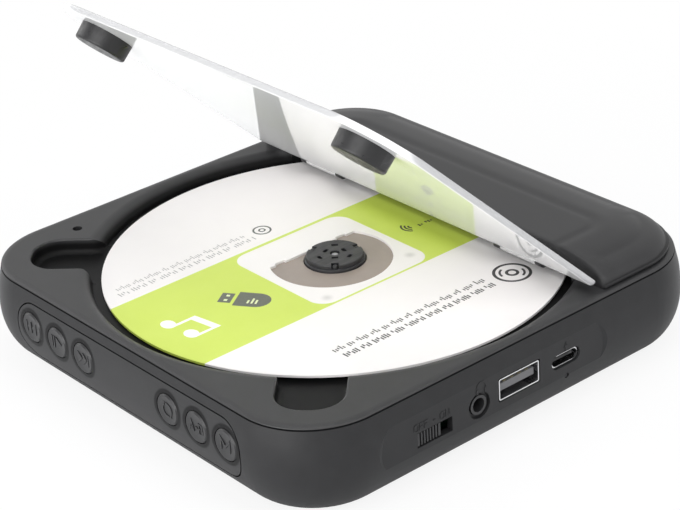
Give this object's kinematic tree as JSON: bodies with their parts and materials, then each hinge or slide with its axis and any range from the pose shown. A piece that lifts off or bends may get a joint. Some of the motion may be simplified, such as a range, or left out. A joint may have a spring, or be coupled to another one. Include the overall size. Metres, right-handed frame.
{
  "type": "wall mounted cd player",
  "caption": "Flat rounded disc player lying on its back, white lid hinged open over a round disc well, front buttons, side sockets, keyholes for a wall.",
  "frame": {"origin": "middle of the plane that the four rubber feet touch, under the middle of the case", "axes": "+Z from the feet out through the disc well (out of the wall when hung), +Y towards the lid hinge and the raised cover (up when hung), -Y the face with the buttons, +X the face with the sockets"},
  "size_m": [0.137, 0.1357, 0.0898],
  "materials": {
    "soft_dark_body": "soft-touch dark grey moulding",
    "milky_lid": "milky white gloss with polished edges",
    "black_gloss": "polished black",
    "black_matte": "fine texture",
    "taupe_cover": "satin",
    "white_plastic": "moulded acetal",
    "grey_tongue": "smooth",
    "printed_card": "matt coated card with a green band",
    "plated_steel": "bright nickel plating",
    "steel": "zinc plated",
    "magnet": "nickel plated magnet",
    "circuit_board": "solder mask",
    "speaker_paper": "pressed pulp",
    "battery_wrap": "shrink film",
    "rubber": "soft rubber",
    "lens_glass": "coated lens",
    "clear_lamp": "clear light pipe"
  },
  "bodies": {
    "case": {"battery": "battery_wrap", "board_chips": "black_matte", "board_screws": "steel", "bottom_case": "soft_dark_body", "button_board": "circuit_board", "button_plate": "soft_dark_body", "case_screws": "steel", "charge_lamp": "clear_lamp", "chassis_screws": "steel", "cover_screws": "steel", "dampers": "rubber", "guide_rods": "plated_steel", "headphone_jack": "black_gloss", "hinge_pins": "plated_steel", "latch_magnets": "magnet", "lid_sensor": "clear_lamp", "main_board": "circuit_board", "mech_chassis": "black_matte", "mech_cover": "taupe_cover", "printed_card": "printed_card", "rear_cover": "soft_dark_body", "rubber_feet": "rubber", "sled_motor": "steel", "speaker_cones": "speaker_paper", "speaker_frames": "black_matte", "speaker_magnets": "steel", "spindle_motor": "steel", "switch_body": "black_matte", "tact_switches": "black_matte", "top_deck": "soft_dark_body", "usb_a_contacts": "plated_steel", "usb_a_shell": "plated_steel", "usb_a_tongue": "grey_tongue", "usb_c_riser": "black_matte", "usb_c_shell": "plated_steel", "usb_c_tongue": "black_matte"},
    "lid": {"lid": "milky_lid", "lid_pads": "black_gloss", "pad_magnets": "magnet"},
    "previous_button": {"button_previous": "soft_dark_body"},
    "play_button": {"button_play": "soft_dark_body"},
    "next_button": {"button_next": "soft_dark_body"},
    "repeat_button": {"button_repeat": "soft_dark_body"},
    "a_b_button": {"button_a_b": "soft_dark_body"},
    "mode_button": {"button_mode": "soft_dark_body"},
    "switch": {"switch_knob": "black_matte"},
    "spindle": {"spindle_shaft": "plated_steel", "disc_hub": "black_gloss", "clamp_pawls": "black_matte"},
    "sled": {"pickup_sled": "black_matte", "objective_lens": "lens_glass", "sled_rack": "white_plastic"},
    "gear": {"sled_gear": "white_plastic"},
    "pinion": {"motor_pinion": "white_plastic"}
  },
  "joints": [
    {"name": "lid_hinge", "type": "hinge", "parent": "case", "child": "lid", "pos_m": [0, 0.0291, 0.0267], "axis": [-1, 0, 0], "range_deg": [-43.3, 46.7]},
    {"name": "previous_press", "type": "slide", "parent": "case", "child": "previous_button", "axis": [0, 1, 0], "range_m": [0, 0.0006], "stiffness_N_per_m": 600, "springref_m": -0.0005},
    {"name": "play_press", "type": "slide", "parent": "case", "child": "play_button", "axis": [0, 1, 0], "range_m": [0, 0.0006], "stiffness_N_per_m": 600, "springref_m": -0.0005},
    {"name": "next_press", "type": "slide", "parent": "case", "child": "next_button", "axis": [0, 1, 0], "range_m": [0, 0.0006], "stiffness_N_per_m": 600, "springref_m": -0.0005},
    {"name": "repeat_press", "type": "slide", "parent": "case", "child": "repeat_button", "axis": [0, 1, 0], "range_m": [0, 0.0006], "stiffness_N_per_m": 600, "springref_m": -0.0005},
    {"name": "a_b_press", "type": "slide", "parent": "case", "child": "a_b_button", "axis": [0, 1, 0], "range_m": [0, 0.0006], "stiffness_N_per_m": 600, "springref_m": -0.0005},
    {"name": "mode_press", "type": "slide", "parent": "case", "child": "mode_button", "axis": [0, 1, 0], "range_m": [0, 0.0006], "stiffness_N_per_m": 600, "springref_m": -0.0005},
    {"name": "switch_slide", "type": "slide", "parent": "case", "child": "switch", "axis": [0, 1, 0], "range_m": [0, 0.0033]},
    {"name": "disc_spin", "type": "hinge", "parent": "case", "child": "spindle", "pos_m": [0, 0.0004, 0], "axis": [0, 0, 1], "continuous": true},
    {"name": "sled_travel", "type": "slide", "parent": "case", "child": "sled", "axis": [-1, 0, 0], "range_m": [0, 0.032]},
    {"name": "gear_spin", "type": "hinge", "parent": "case", "child": "gear", "pos_m": [-0.016, 0.0258, 0], "axis": [0, 0, 1], "range_deg": [-470, 10]},
    {"name": "pinion_spin", "type": "hinge", "parent": "case", "child": "pinion", "pos_m": [-0.0055, 0.0272, 0], "axis": [0, 0, 1], "range_deg": [-20, 1550]}
  ],
  "couplings": [
    {"joint": "gear_spin", "follows": "sled_travel", "rad_per_m": -250},
    {"joint": "pinion_spin", "follows": "sled_travel", "rad_per_m": 833.33}
  ]
}
